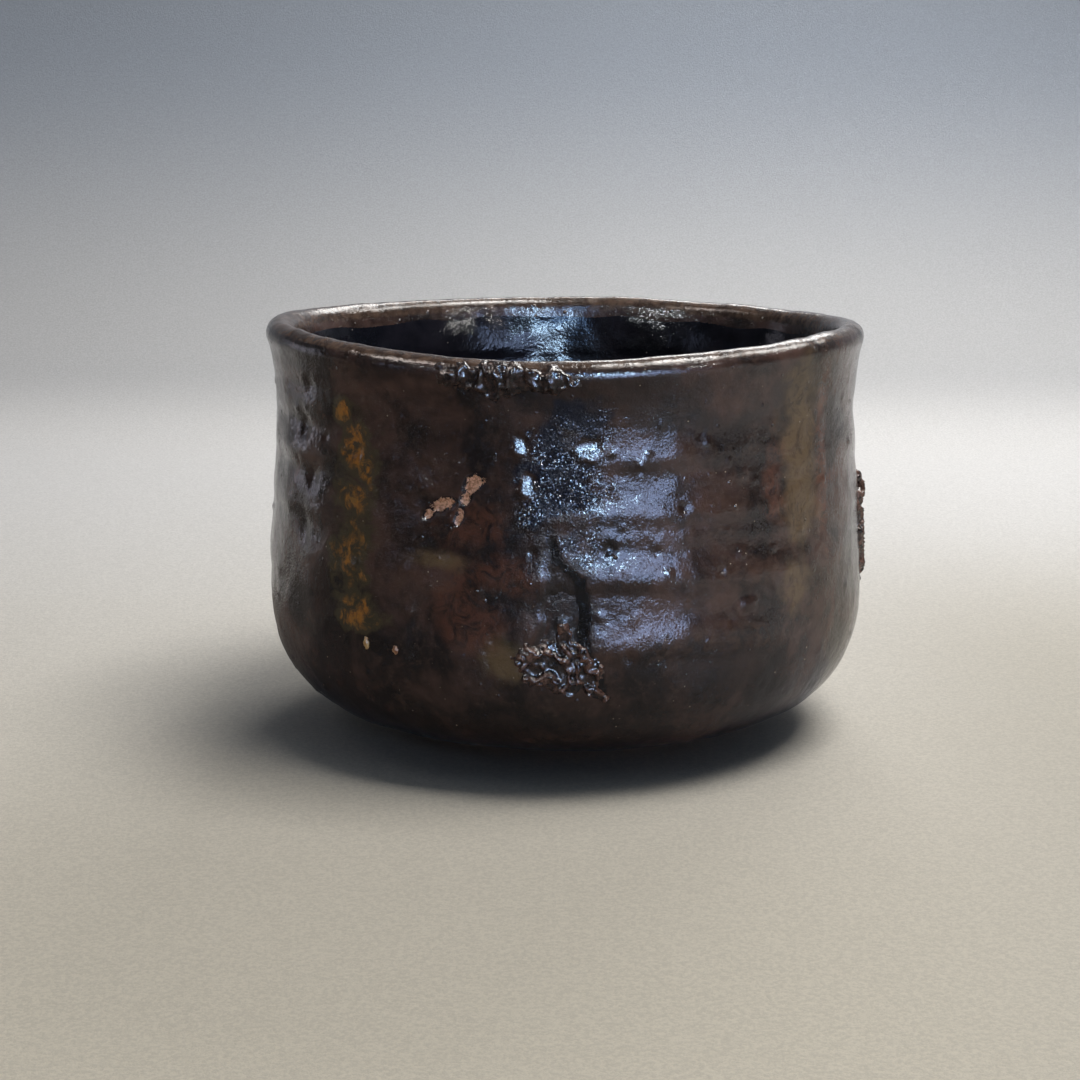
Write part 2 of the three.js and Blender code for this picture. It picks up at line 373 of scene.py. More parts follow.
def wall_relief(azimuth, height):
    """How far the glazed wall stands out from its even outline, and the masks that tint it."""
    spots = np.stack([60 * np.sin(azimuth), -60 * np.cos(azimuth), height], 1)
    on_wall = smooth(9, 20, height) * (1 - smooth(75, 79, height))
    ridges = ridge_relief(azimuth, height, spots) * on_wall
    scrape, shaded_slope = scrape_depth(azimuth, height, spots)
    chips = chip_mask(azimuth, height, spots)
    flank = np.exp(-((np.degrees(azimuth) + 62) / 16) ** 2)
    right = np.exp(-((np.degrees(azimuth) - 24) / 11) ** 2)
    uneven = 0.28 * lumps(spots, 26, 1) + (0.12 + 0.25 * flank + 0.1 * right) * lumps(spots, 9, 2)
    pebbly = 0.1 * lumps(spots, 4.2, 5, 2) + 0.03 * lumps(spots, 1.4, 6)
    relief = uneven + ridges + pebbly + blister_relief(azimuth, height, spots)
    relief -= scrape + CHIP_DEPTH * smooth(0.35, 0.65, chips)
    relief += 0.1 * creases(spots, 2.2, 8) * smooth(0.1, 0.5, scrape)
    tilted, pressed = pressed_relief(azimuth, height, spots)
    relief += tilted
    return relief, {"ridge": ridges, "scrape": scrape, "shaded_slope": shaded_slope, "chip": chips, "pressed": pressed}


# ---- Making pieces ----

def wrapped(section, around, crowd=0.0):
    """A fine sheet wrapped round the axis: columns are azimuths, rows the section's points.
    crowd draws the columns towards the front. Returns the bmesh, with each vertex's row kept, and
    row 0 for the last point of a section that ends where it starts."""
    closed = np.allclose(section[0], section[-1])
    bm = bmesh.new()
    bmesh.ops.create_grid(bm, x_segments=around, y_segments=len(section) - 1, size=1)
    row_layer = bm.verts.layers.float.new("row")
    for v in bm.verts:
        turn = v.co.x * math.pi
        azimuth = turn - crowd * math.sin(turn)
        row = round((v.co.y + 1) / 2 * (len(section) - 1))
        radius, height = section[row]
        v.co = (radius * math.sin(azimuth), -radius * math.cos(azimuth), height)
        v[row_layer] = 0 if closed and row == len(section) - 1 else row
    bmesh.ops.remove_doubles(bm, verts=bm.verts, dist=1e-4)
    return bm


def made(bm, name, material, replaces):
    """The finished piece in metres: smooth, facing outwards, riding on the bowl."""
    bmesh.ops.recalc_face_normals(bm, faces=bm.faces)
    bmesh.ops.scale(bm, vec=(MM, MM, MM), verts=bm.verts)
    mesh = bpy.data.meshes.new(name)
    bm.to_mesh(mesh)
    bm.free()
    mesh.polygons.foreach_set("use_smooth", [True] * len(mesh.polygons))
    mesh.materials.append(material)
    piece = bpy.data.objects.new(name, mesh)
    bpy.context.scene.collection.objects.link(piece)
    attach(piece, BODY)
    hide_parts(*replaces)
    return piece


def places(bm):
    """Azimuth, radius, height and row of every vertex."""
    row_layer = bm.verts.layers.float["row"]
    co = np.array([v.co[:] for v in bm.verts])
    row = np.array([v[row_layer] for v in bm.verts])
    azimuth = np.arctan2(co[:, 0], -co[:, 1])
    return azimuth, np.hypot(co[:, 0], co[:, 1]), co[:, 2], np.rint(row).astype(int)


def placed(bm, spots):
    """Puts every vertex at its spot."""
    for v, spot in zip(bm.verts, spots.tolist()):
        v.co = spot


def tinted(bm, masks):
    """Keeps each mask on the vertices, for the glazes to read."""
    for name, values in masks.items():
        layer = bm.verts.layers.float.new(name)
        for v, value in zip(bm.verts, values.tolist()):
            v[layer] = value


def face_of(section, row):
    """The outward and upward share of the section's face at each row."""
    along = np.gradient(section, axis=0)
    along /= np.maximum(np.linalg.norm(along, axis=1), 1e-9)[:, None]
    return along[row, 1], -along[row, 0]


# ---- Materials ----

class Finish:
    """A node material in the making. Each method adds nodes and gives back their output."""

    def __init__(self, name, roughness=0.5, ior=1.5, **settings):
        self.material = bpy.data.materials.new(name)
        self.material.use_nodes = True
        self.nodes = self.material.node_tree.nodes
        self.links = self.material.node_tree.links
        self.shader = self.nodes["Principled BSDF"]
        self.shader.inputs["Roughness"].default_value = roughness
        self.shader.inputs["IOR"].default_value = ior
        for socket, value in settings.items():
            self.shader.inputs[socket.replace("_", " ")].default_value = value
        self.where = self.add("ShaderNodeTexCoord").outputs["Object"]

    def add(self, kind, **inputs):
        """A node, with its input sockets set to values or linked to outputs."""
        node = self.nodes.new(kind)
        for key, value in inputs.items():
            self.set(node.inputs[key], value)
        return node

    def set(self, socket, value):
        if isinstance(value, bpy.types.NodeSocket):
            self.links.new(value, socket)
        else:
            socket.default_value = value

    def mottle(self, size, detail=3.0, rough=0.55, twist=0.0, seed=0.0, tall=1.0):
        """Soft noise with patches of a size in millimetres, drawn out upwards by tall, from 0 to 1."""
        node = self.add("ShaderNodeTexNoise", Vector=self.moved(seed, tall))
        node.inputs["Scale"].default_value = 1 / (size * MM)
        node.inputs["Detail"].default_value = detail
        node.inputs["Roughness"].default_value = rough
        node.inputs["Distortion"].default_value = twist
        return node.outputs["Fac"]

    def cells(self, size, seed=0.0):
        """Distance to the nearest of points scattered a size apart, in that size."""
        node = self.add("ShaderNodeTexVoronoi", Vector=self.moved(seed))
        node.inputs["Scale"].default_value = 1 / (size * MM)
        return node.outputs["Distance"]

    def facets(self, size, seed=0.0):
        """Flat crystal faces of a size, each tilted its own way."""
        cell = self.add("ShaderNodeTexVoronoi", Vector=self.moved(seed))
        cell.inputs["Scale"].default_value = 1 / (size * MM)
        spot = self.vector("MULTIPLY", self.moved(seed), (1 / (size * MM),) * 3)
        centre = self.vector("MULTIPLY", cell.outputs["Position"], (1 / (size * MM),) * 3)
        tilt = self.vector("SUBTRACT", cell.outputs["Color"], (0.5, 0.5, 0.5))
        node = self.nodes.new("ShaderNodeVectorMath")
        node.operation = "DOT_PRODUCT"
        self.set(node.inputs[0], self.vector("SUBTRACT", spot, centre))
        self.set(node.inputs[1], tilt)
        return node.outputs["Value"]

    def vector(self, operation, a, b):
        node = self.nodes.new("ShaderNodeVectorMath")
        node.operation = operation
        self.set(node.inputs[0], a)
        self.set(node.inputs[1], b)
        return node.outputs["Vector"]

    def moved(self, seed, tall=1.0):
        """Places on the piece, shifted so that each texture falls differently."""
        node = self.add("ShaderNodeMapping", Vector=self.where)
        node.inputs["Location"].default_value = (seed, 0.37 * seed, -0.61 * seed)
        node.inputs["Scale"].default_value = (1, 1, 1 / tall)
        return node.outputs["Vector"]

    def mask(self, name):
        """A mask kept on the piece's vertices."""
        node = self.nodes.new("ShaderNodeAttribute")
        node.attribute_name = name
        return node.outputs["Fac"]

    def step(self, value, low, high, to_low=0.0, to_high=1.0):
        """An even rise from to_low to to_high while value goes from low to high."""
        node = self.add("ShaderNodeMapRange", Value=value)
        node.interpolation_type = "SMOOTHSTEP"
        node.inputs["From Min"].default_value = low
        node.inputs["From Max"].default_value = high
        node.inputs["To Min"].default_value = to_low
        node.inputs["To Max"].default_value = to_high
        return node.outputs["Result"]

    def maths(self, operation, a, b):
        node = self.nodes.new("ShaderNodeMath")
        node.operation = operation
        self.set(node.inputs[0], a)
        self.set(node.inputs[1], b)
        return node.outputs[0]

    def times(self, a, b):
        return self.maths("MULTIPLY", a, b)

    def plus(self, a, b):
        return self.maths("ADD", a, b)

    def tint(self, share, a, b):
        """Colour a turning into colour b as share goes from 0 to 1."""
        node = self.nodes.new("ShaderNodeMix")
        node.data_type = "RGBA"
        self.set(node.inputs["Factor"], share)
        for socket, colour in ((node.inputs[6], a), (node.inputs[7], b)):
            self.set(socket, colour if isinstance(colour, bpy.types.NodeSocket) else (*colour, 1))
        return node.outputs[2]

    def bump(self, height, depth, under=None):
        """A fine relief of a depth in millimetres."""
        node = self.add("ShaderNodeBump", Height=height)
        node.inputs["Distance"].default_value = depth * MM
        if under is not None:
            self.links.new(under, node.inputs["Normal"])
        return node.outputs["Normal"]

    def finished(self, colour, roughness=None, normal=None):
        self.set(self.shader.inputs["Base Color"], colour)
        if roughness is not None:
            self.set(self.shader.inputs["Roughness"], roughness)
        if normal is not None:
            self.links.new(normal, self.shader.inputs["Normal"])
        return self.material


def outer_glaze_finish():
    """Brown-black glaze: browner where it is thin, amber and ochre in patches, bronze on the lip."""
    f = Finish("brown_black_glaze", ior=1.47)
    broad = f.mottle(11, 4, 0.6, 0.4, seed=0.2)
    small = f.mottle(2.4, 4, 0.65, 0.3, seed=0.5)
    grain = f.mottle(0.5, 2, 0.6, seed=0.8)
    colour = f.tint(f.step(broad, 0.36, 0.66), (0.019, 0.012, 0.0105), (0.108, 0.061, 0.05))
    colour = f.tint(f.times(f.step(small, 0.5, 0.75), 0.5), colour, (0.12, 0.075, 0.06))
    clouds = f.step(f.mottle(19, 3, 0.6, seed=0.9), 0.48, 0.6, 0.0, 0.65)
    colour = f.tint(clouds, colour, (0.016, 0.011, 0.0105))
    # Painted reflection: the glaze is tinted dark blue in these patches, standing in for reflected blue
    # light.
    colour = f.tint(f.times(f.step(f.mask("glitter_and_blue_sheen"), 0.2, 1), 0.9), colour, (0.009, 0.014, 0.036))
    up = f.add("ShaderNodeSeparateXYZ", Vector=f.where).outputs["Z"]
    # Painted shade: the wall darkens towards the underside, where the bowl shades itself.
    colour = f.tint(f.step(up, 0.03, 0.01, 0.0, 0.55), colour, (0.018, 0.014, 0.012))
    thin = f.times(f.step(f.mask("ridge"), 0.25, 0.5), f.step(small, 0.35, 0.65))
    colour = f.tint(f.times(thin, 0.4), colour, (0.11, 0.06, 0.04))
    streak = f.mottle(3.2, 4, 0.7, 1.2, seed=1.3)
    dashes = f.mottle(1.1, 5, 0.75, seed=1.6, tall=2.2)
    amber = f.times(f.mask("amber"), f.step(streak, 0.25, 0.7, 0.15, 1.0))
    colour = f.tint(f.times(f.step(amber, 0.0, 0.25), 0.75), colour, (0.1, 0.08, 0.043))
    amber = f.times(f.step(amber, 0.3, 0.8), f.step(dashes, 0.36, 0.56, 0.2, 1.0))
    colour = f.tint(amber, colour, f.tint(f.step(small, 0.4, 0.7), (0.52, 0.21, 0.04), (0.33, 0.18, 0.055)))
    ochre = f.times(f.mask("ochre"), f.step(streak, 0.25, 0.6, 0.25, 1.0))
    colour = f.tint(f.times(ochre, 0.85), colour, (0.2, 0.135, 0.075))
    rust = f.times(f.mask("rust"), f.step(streak, 0.32, 0.6))
    colour = f.tint(f.times(rust, 0.55), colour, (0.21, 0.083, 0.052))
    lip = f.step(f.plus(f.mask("bronze"), f.times(f.plus(streak, -0.5), 0.7)), 0.35, 0.8)
    bronze = f.tint(f.step(small, 0.35, 0.65), (0.045, 0.026, 0.018), (0.13, 0.08, 0.055))
    colour = f.tint(lip, colour, bronze)
    # Painted glints: small pale dots tinted into the colour here and there.
    pale_dots = f.times(f.step(f.cells(1.7, seed=2.0), 0.11, 0.05), f.step(small, 0.5, 0.62))
    colour = f.tint(f.times(pale_dots, f.step(grain, 0.4, 0.6)), colour, (0.6, 0.48, 0.36))
    chip = f.plus(f.mask("chip"), f.times(f.plus(f.mottle(1.0, 5, 0.7, 0.8, seed=1.9), -0.5), 2.4))
    chip = f.times(f.step(chip, 0.5, 0.62), f.step(f.mask("chip"), 0.1, 0.3))
    clay = f.tint(f.step(grain, 0.35, 0.65), (0.5, 0.22, 0.12), (1.0, 0.6, 0.42))
    colour = f.tint(f.step(f.mask("chip"), 0.1, 0.4), colour, (0.02, 0.01, 0.01))
    colour = f.tint(chip, colour, clay)
    colour = f.tint(f.times(f.step(f.mask("scrape"), 0.15, 0.6), 0.6), colour, (0.022, 0.016, 0.011))
    # Painted shade: the left-facing slope along the scrape's right edge is near black.
    colour = f.tint(f.times(f.mask("shaded_slope"), 0.9), colour, (0.006, 0.005, 0.005))
    rough = f.step(small, 0.3, 0.8, 0.09, 0.17)
    rough = f.plus(rough, f.times(f.mask("scrape"), 0.1))
    rough = f.plus(rough, f.times(chip, 0.16))
    normal = f.bump(f.mottle(1.6, 3, 0.6, seed=3.0), 0.1)
    normal = f.bump(f.mottle(0.45, 2, 0.6, seed=3.3), 0.045, normal)
    beads = f.times(f.step(f.cells(3.3, seed=15.0), 0.15, 0.0), f.step(small, 0.42, 0.6))
    normal = f.bump(beads, 0.26, normal)
    patchy = f.step(f.mottle(5, 3, 0.6, seed=4.1), 0.42, 0.6, 0.15, 1.0)
    crystals = f.plus(0.1, f.times(f.mask("glitter_and_blue_sheen"), patchy))
    normal = f.bump(f.times(f.facets(0.24, seed=3.7), crystals), 0.24, normal)
    return f.finished(colour, rough, normal)


def inner_glaze_finish():
    """Blue-black glaze, deeper in patches."""
    f = Finish("blue_black_glaze", ior=1.34)
    broad = f.mottle(9, 4, 0.6, 0.4, seed=5.2)
    colour = f.tint(f.step(broad, 0.35, 0.7), (0.006, 0.007, 0.012), (0.018, 0.017, 0.026))
    lip = f.step(f.plus(f.mask("bronze"), f.times(f.plus(broad, -0.5), 0.6)), 0.35, 0.8)
    colour = f.tint(lip, colour, (0.055, 0.034, 0.024))
    pale_dots = f.step(f.cells(2.6, seed=6.0), 0.085, 0.04)
    colour = f.tint(pale_dots, colour, (0.3, 0.27, 0.25))
    rough = f.step(f.mottle(3, 3, 0.6, seed=6.5), 0.3, 0.8, 0.09, 0.2)
    normal = f.bump(f.mottle(3.2, 3, 0.6, seed=7.0), 0.12)
    normal = f.bump(f.mottle(0.6, 2, 0.6, seed=7.3), 0.06, normal)
    return f.finished(colour, rough, normal)


def clay_finish():
    """Matt fired clay with grog and darker scorching."""
    f = Finish("fired_clay", roughness=0.85, ior=1.45)
    scorch = f.mottle(14, 4, 0.6, seed=8.0)
    grit = f.mottle(0.7, 4, 0.75, seed=8.4)
    colour = f.tint(f.step(scorch, 0.3, 0.7), (0.16, 0.075, 0.042), (0.34, 0.19, 0.115))
    colour = f.tint(f.times(f.step(grit, 0.5, 0.8), 0.5), colour, (0.5, 0.36, 0.25))
    grog = f.step(f.cells(1.9, seed=9.0), 0.16, 0.1)
    colour = f.tint(grog, colour, (0.1, 0.05, 0.03))
    rough = f.step(grit, 0.3, 0.8, 0.7, 0.95)
    normal = f.bump(grit, 0.12)
    normal = f.bump(f.mottle(0.25, 2, 0.6, seed=9.5), 0.04, normal)
    return f.finished(colour, rough, normal)


def crust_finish():
    """Boiled glaze: near black, with pink and brown on its high places, partly burnt colour and partly
    painted highlight.
    """
    f = Finish("blistered_glaze", ior=1.55)
    spots = f.mottle(1.2, 4, 0.7, seed=10.0)
    high = f.times(f.step(f.mask("high"), 0.4, 0.95), f.step(spots, 0.35, 0.65))
    colour = f.tint(f.step(spots, 0.35, 0.7), (0.014, 0.009, 0.0085), (0.075, 0.04, 0.03))
    # Partly painted highlight: the high places of the crust turn pink.
    colour = f.tint(f.times(high, 0.6), colour, (0.32, 0.17, 0.13))
    rough = f.step(spots, 0.3, 0.8, 0.1, 0.34)
    normal = f.bump(f.mottle(0.5, 3, 0.6, seed=10.5), 0.06)
    return f.finished(colour, rough, normal)


def stone_finish(name, pale, dark):
    """A half-melted grain of feldspar."""
    f = Finish(name, ior=1.52)
    spots = f.mottle(0.6, 4, 0.6, seed=12.0)
    colour = f.tint(f.step(spots, 0.35, 0.65), dark, pale)
    normal = f.bump(f.mottle(0.35, 3, 0.6, seed=12.5), 0.05)
    return f.finished(colour, f.step(spots, 0.3, 0.7, 0.25, 0.55), normal)


CLAY = clay_finish()
OUTER_GLAZE = outer_glaze_finish()
INNER_GLAZE = inner_glaze_finish()
CRUST = crust_finish()
CREAM_STONE = stone_finish("cream_feldspar", (0.85, 0.58, 0.26), (0.5, 0.26, 0.09))
PEACH_STONE = stone_finish("peach_feldspar", (0.58, 0.3, 0.14), (0.3, 0.13, 0.06))


# ---- The outer coat ----

# Patches of colour in the outer glaze: azimuth, height, half width, half height.
AMBER_PATCHES = [
    (-42, 63, 4.8, 6.4), (-43.5, 53, 4.4, 4.6), (-43, 42.5, 5.0, 6.0), (-41, 33, 6.0, 3.6),
    (-45.5, 70, 2.4, 3.2),
    (118, 42, 4, 12),
]
OCHRE_PATCHES = [
    (48.5, 62, 6.0, 17), (-10.5, 27, 3.6, 4.8), (46, 38, 4, 5), (-22, 45, 6, 1.6),
    (-120, 30, 10, 8), (95, 66, 10, 6),
]
RUST_PATCHES = [
    (-20, 33.2, 4.2, 3.2), (-17, 52, 7, 5), (-19, 37, 5, 3.4), (56, 58, 2.6, 16),
    (-13, 43.5, 8, 3.6), (-16, 33, 8, 4), (41, 57, 3, 8),
    (150, 60, 15, 12), (-90, 45, 14, 18),
]
# Where a dark blue reflection is painted into the glaze, and where it glitters with crystal faces.
GLITTER_AND_BLUE_SHEEN_PATCHES = [(-1.5, 61, 8.5, 13), (3, 72, 7, 4)]


def patch_mask(patches, azimuth, height, ragged):
    """1 inside any of the patches, fading over their ragged edges."""
    mask = np.zeros_like(azimuth)
    for at, up, half_width, half_height in patches:
        x, z = away(azimuth, height, at, up)
        d = np.hypot(x / half_width, z / half_height) + ragged
        mask = np.maximum(mask, 1 - smooth(0.4, 1.4, d))
    return mask


def amber_mask(azimuth, height, ragged):
    """The amber patches in the wider olive stain round them."""
    stain = patch_mask([(-42, 52, 6, 22), (-10.8, 28, 4.5, 5)], azimuth, height, 0.6 * ragged)
    return np.maximum(0.3 * stain, patch_mask(AMBER_PATCHES, azimuth, height, ragged))


def lip_relief(spots):
    """Unevenness of the lip, where hands and fire touched it most."""
    return 0.3 * lumps(spots, 16, 41) + 0.16 * lumps(spots, 5, 42) + 0.05 * lumps(spots, 2, 43)


def outer_coat():
    face = OUTSIDE[: CREST + 24]
    back = sunk(OUTSIDE, GLAZE)[: CREST + 24][::-20]
    section = np.concatenate([face, back, face[:1]])
    bm = wrapped(section, COAT_COLUMNS, COAT_CROWDING)
    azimuth, radius, height, row = places(bm)
    outward, upward = face_of(section, row)
    on_face = row < len(face)
    spots = np.stack([60 * np.sin(azimuth), -60 * np.cos(azimuth), height], 1)
    relief, masks = wall_relief(azimuth, height)
    lip = lip_relief(spots)
    lip_share = smooth(CREST - 26, CREST - 8, row)
    relief = np.where(row < CREST, relief, 0) * (1 - lip_share) + lip * lip_share
    drop = RIM_HEIGHT - height
    fade_at = LAP_DROP + 1.2 * lumps(spots, 12, 44)
    past_crest = row >= CREST
    sinking = 0.3 * smooth(fade_at - 3.5, fade_at + 3.5, drop) + 0.4 * smooth(7.5, 10.5, drop)
    relief -= np.where(past_crest, sinking, 0)
    start = GLAZE_LINE + 1.2 * lumps(spots, 13, 45)
    edge = smooth(start - 0.2, start + 0.8, radius)
    near_start = row < 30
    roll = 0.35 * np.exp(-(((radius - start - 1.4) / 1.1) ** 2))
    relief += np.where(near_start, roll - 1.3 * (1 - edge), 0)
    relief = np.where(on_face, relief, 0)
    radius = radius + outward * relief
    height = height + upward * relief
    placed(bm, hand_shaped(azimuth, radius, height))
    ragged = 0.6 * lumps(spots, 5, 46, 4)
    bronze = np.where(past_crest, 1 - smooth(1.6, 4.4, drop), 1 - smooth(0.5, 2.0, drop))
    shown = np.where(row < CREST, 1.0, 0.0)
    tinted(bm, {
        "ridge": masks["ridge"] * shown,
        "scrape": masks["scrape"] * shown,
        "shaded_slope": masks["shaded_slope"] * shown,
        "chip": masks["chip"] * shown,
        "bronze": bronze,
        "amber": amber_mask(azimuth, height, ragged) * shown,
        "ochre": patch_mask(OCHRE_PATCHES, azimuth, height, ragged) * shown,
        "rust": patch_mask(RUST_PATCHES, azimuth, height, ragged) * shown,
        "glitter_and_blue_sheen": patch_mask(GLITTER_AND_BLUE_SHEEN_PATCHES, azimuth, height, ragged) * shown * (1 - masks["pressed"]),
    })
    return made(bm, "outer_coat", OUTER_GLAZE, ["outer_glaze"])


# ---- The inner coat ----

def inner_coat():
    finished = inside()
    start = int(np.argmax(finished[:, 1] < RIM_HEIGHT - 2.2))
    face = finished[start:]
    back = sunk(finished, GLAZE)[start:]
    back[-1] = (0, WELL_FLOOR - GLAZE)
    section = np.concatenate([face, back[::-12], face[:1]])
    bm = wrapped(section, WELL_COLUMNS)
    azimuth, radius, height, row = places(bm)
    outward, upward = face_of(section, row)
    on_face = row < len(face) - 1
    spots = np.stack([radius * np.sin(azimuth), -radius * np.cos(azimuth), height], 1)
    turns = 0.24 * np.sin(math.tau * (height / 7.5 + azimuth / math.tau)) * smooth(24, 36, height)
    turns *= (1 - smooth(72, 77, height)) * (0.7 + 0.6 * lumps(spots, 18, 54))
    spiral = 0.1 * np.sin(math.tau * (radius / 6.5 - azimuth / math.tau)) * (1 - smooth(26, 34, radius))
    spiral *= smooth(1, 6, radius)
    relief = turns + spiral + 0.2 * lumps(spots, 24, 51) + 0.2 * lumps(spots, 7, 52)
    relief += 0.04 * lumps(spots, 2.6, 53)
    above = np.stack([60 * np.sin(azimuth), -60 * np.cos(azimuth), height], 1)
    near_lip = smooth(66, 73, height)
    under_lap = 0.13 + 0.3 * smooth(RIM_HEIGHT - 3.4, RIM_HEIGHT - 2.2, height)
    relief += near_lip * (lip_relief(above) - under_lap - relief)
    relief = np.where(on_face, relief, 0)
    placed(bm, hand_shaped(azimuth, radius + outward * relief, height + upward * relief))
    tinted(bm, {"bronze": smooth(RIM_HEIGHT - 4.4, RIM_HEIGHT - 1.6, height)})
    return made(bm, "inner_coat", INNER_GLAZE, ["inner_glaze"])


# ---- The clay ----

def clay_cup():
    underside = clay_low.z
    outer = sunk(OUTSIDE, HIDDEN)[12 : CREST : 6]
    inner = sunk(inside(), HIDDEN)[6::6]
    floor = [(0, WELL_FLOOR - HIDDEN)]
    bare = line((0, underside), (46, underside), 90)
    section = np.concatenate([bare, outer[1:], inner[:-1], floor])
    bm = wrapped(section, CLAY_COLUMNS)
    azimuth, radius, height, row = places(bm)
    spots = np.stack([radius * np.sin(azimuth), -radius * np.cos(azimuth), height], 1)
    on_bare = (row <= 90) & (radius < 44)
    trimmed = 0.1 * np.abs(np.sin(math.pi * (radius / 2.3 + azimuth / math.tau)))
    button = 0.8 * np.exp(-((radius / 3.2) ** 2)) * (1 - 0.3 * np.cos(azimuth * 2))
    rough = 0.06 * lumps(spots, 3, 61, 2)
    drop = np.where(on_bare, (trimmed + rough) * smooth(0.2, 4, radius) + button, 0)
    placed(bm, hand_shaped(azimuth, radius, height - drop))
    return made(bm, "clay_cup", CLAY, ["clay_body"])


def foot():
    top = foot_high.z + 0.4
    inner = FOOT_RADIUS - FOOT_WIDTH
    section = joined(
        line((inner, top), (inner, 1.0), 14),
        bend((inner, 1.0), (inner, 0.3), (inner + 0.3, 0.0), (inner + 1.0, 0.0), 5),
        line((inner + 1.0, 0.0), (FOOT_RADIUS - 1.8, 0.0), 10),
        bend(
            (FOOT_RADIUS - 1.8, 0), (FOOT_RADIUS - 1.1, 0),
            (FOOT_RADIUS - 0.8, 0.4), (FOOT_RADIUS - 0.8, 1.0), 5,
        ),
        line((FOOT_RADIUS - 0.8, 1.0), (FOOT_RADIUS - 0.05, top), 14),
        line((FOOT_RADIUS - 0.05, top), (inner, top), 6),
    )
    bm = wrapped(section, FOOT_COLUMNS)
    azimuth, radius, height, _ = places(bm)
    spots = np.stack([radius * np.sin(azimuth), -radius * np.cos(azimuth), height], 1)
    off_floor = smooth(0.0, 1.2, height)
    tool = 0.12 * np.sin(math.tau * (height / 2.1 + azimuth / math.tau)) + 0.12 * lumps(spots, 9, 62)
    tool += 0.05 * lumps(spots, 2, 63)
    outward = np.where(radius > FOOT_RADIUS - FOOT_WIDTH / 2, -1, 1)
    spots = np.stack([radius + outward * np.abs(tool) * off_floor, height], 1)
    worn = 0.07 * np.clip(lumps(np.stack([azimuth * 24, radius, height], 1), 2.5, 64), 0, 1)
    spots[:, 1] += worn * (1 - off_floor) * (height < 0.5)
    placed(bm, hand_shaped(azimuth, spots[:, 0], spots[:, 1]))
    return made(bm, "foot", CLAY, ["foot_ring"])


# ---- Crusts and grains ----

def crust(name, node, centre, half_size, outline, boil, seed, burn_and_highlight=1.0):
    """A patch of boiled glaze fused to the wall. outline gives, for places in the patch, how far
    inside its ragged edge they are; boil gives its relief; burn_and_highlight is how pink its high
    places are, partly burnt colour and partly painted highlight."""
    across, up = half_size
    bm = bmesh.new()
    columns, rows = round(across * CRUST_FINENESS), round(up * CRUST_FINENESS)
    bmesh.ops.create_grid(bm, x_segments=columns, y_segments=rows, size=1)
    flat = np.array([v.co[:] for v in bm.verts])
    sheet = set(bm.verts)
    bmesh.ops.extrude_face_region(bm, geom=bm.faces[:], use_keep_orig=True)
    under = np.array([0.0 if v in sheet else 1.0 for v in bm.verts])
    flat = np.array([v.co[:] for v in bm.verts])
    azimuth = math.radians(centre[0]) + flat[:, 0] * across / BELLY_RADIUS
    height = centre[1] + flat[:, 1] * up
    spots = np.stack([60 * np.sin(azimuth), -60 * np.cos(azimuth), height], 1)
    inside_edge = outline(flat[:, 0] * across, flat[:, 1] * up) + 0.9 * lumps(spots, 2.6, seed, 3)
    cover = smooth(-0.6, 0.9, inside_edge)
    high = boil(spots)
    stand = -0.9 + cover * (0.95 + high)
    stand = np.where(under > 0.5, -1.6, stand)
    relief, _ = wall_relief(azimuth, height)
    radius, outward, upward = wall_at(height)
    out = relief + stand
    placed(bm, hand_shaped(azimuth, radius + outward * out, height + upward * out))
    tinted(bm, {"high": burn_and_highlight * np.clip(high, 0, 1) * (under < 0.5)})
    return made(bm, name, CRUST, [node])


def boiled(seed, tall, size):
    """Relief of curling blisters of a size, burst open into each other, up to a height."""
    def relief(spots):
        swirl = np.stack([lumps(spots, size, seed + k) for k in (3, 4, 5)], 1)
        swirled = (spots + 0.6 * size * swirl) * (1, 1, 0.7)
        curls = 1 - (2.3 * np.abs(lumps(swirled, 1.5 * size, seed))).clip(0, 1)
        folds = 1 - (2.3 * np.abs(lumps(swirled, 0.75 * size, seed + 1))).clip(0, 1)
        swell = lumps(spots, 3.5, seed + 2)
        return tall * (0.6 * curls**1.5 + 0.3 * folds * (0.4 + curls) + 0.25 * swell + 0.1)
    return relief


def front_outline(x, z):
    """Inside a leaning blot with a tail to the lower right."""
    blot = 1.15 - np.hypot((x + 0.2 + 0.25 * z) / 7.4, (z - 0.2) / 4.9)
    tail = 1 - np.hypot((x - 6.0) / 3.4, (z + 4.4 + 0.5 * (x - 6)) / 1.5)
    finger = 1 - np.hypot((x - 0.6) / 1.5, (z - 6) / 3.4)
    return 3 * np.maximum(np.maximum(blot, tail), finger)


def lip_outline(x, z):
    """Inside a broken band under the lip."""
    return 2.6 * (1 - np.hypot(x / 15.5, (z - 1.2) / (3.3 + 0.7 * np.cos(x * 0.6))))


def side_outline(x, z):
    """Inside a long upright blot."""
    return 3 * (1 - np.hypot((x + 0.12 * z) / 4.6, z / 12.2))


def grain(name, node, material, slot):
    """A grain of stone half sunk in the glaze."""
    low, high = box_mm(node)
    bm = bmesh.new()
    bmesh.ops.create_icosphere(bm, subdivisions=4, radius=1)
    spots = np.array([v.co[:] for v in bm.verts])
    rough = 0.95 + 0.3 * lumps(spots, 0.7, 71) + 0.12 * lumps(spots, 0.3, 72)
    middle = np.array((low + high) / 2)
    middle[:2] *= 1 - 0.6 / math.hypot(middle[0], middle[1])
    placed(bm, spots * rough[:, None] * np.array((high - low) / 2) * 0.9 + middle)
    return made(bm, name, material, [node])


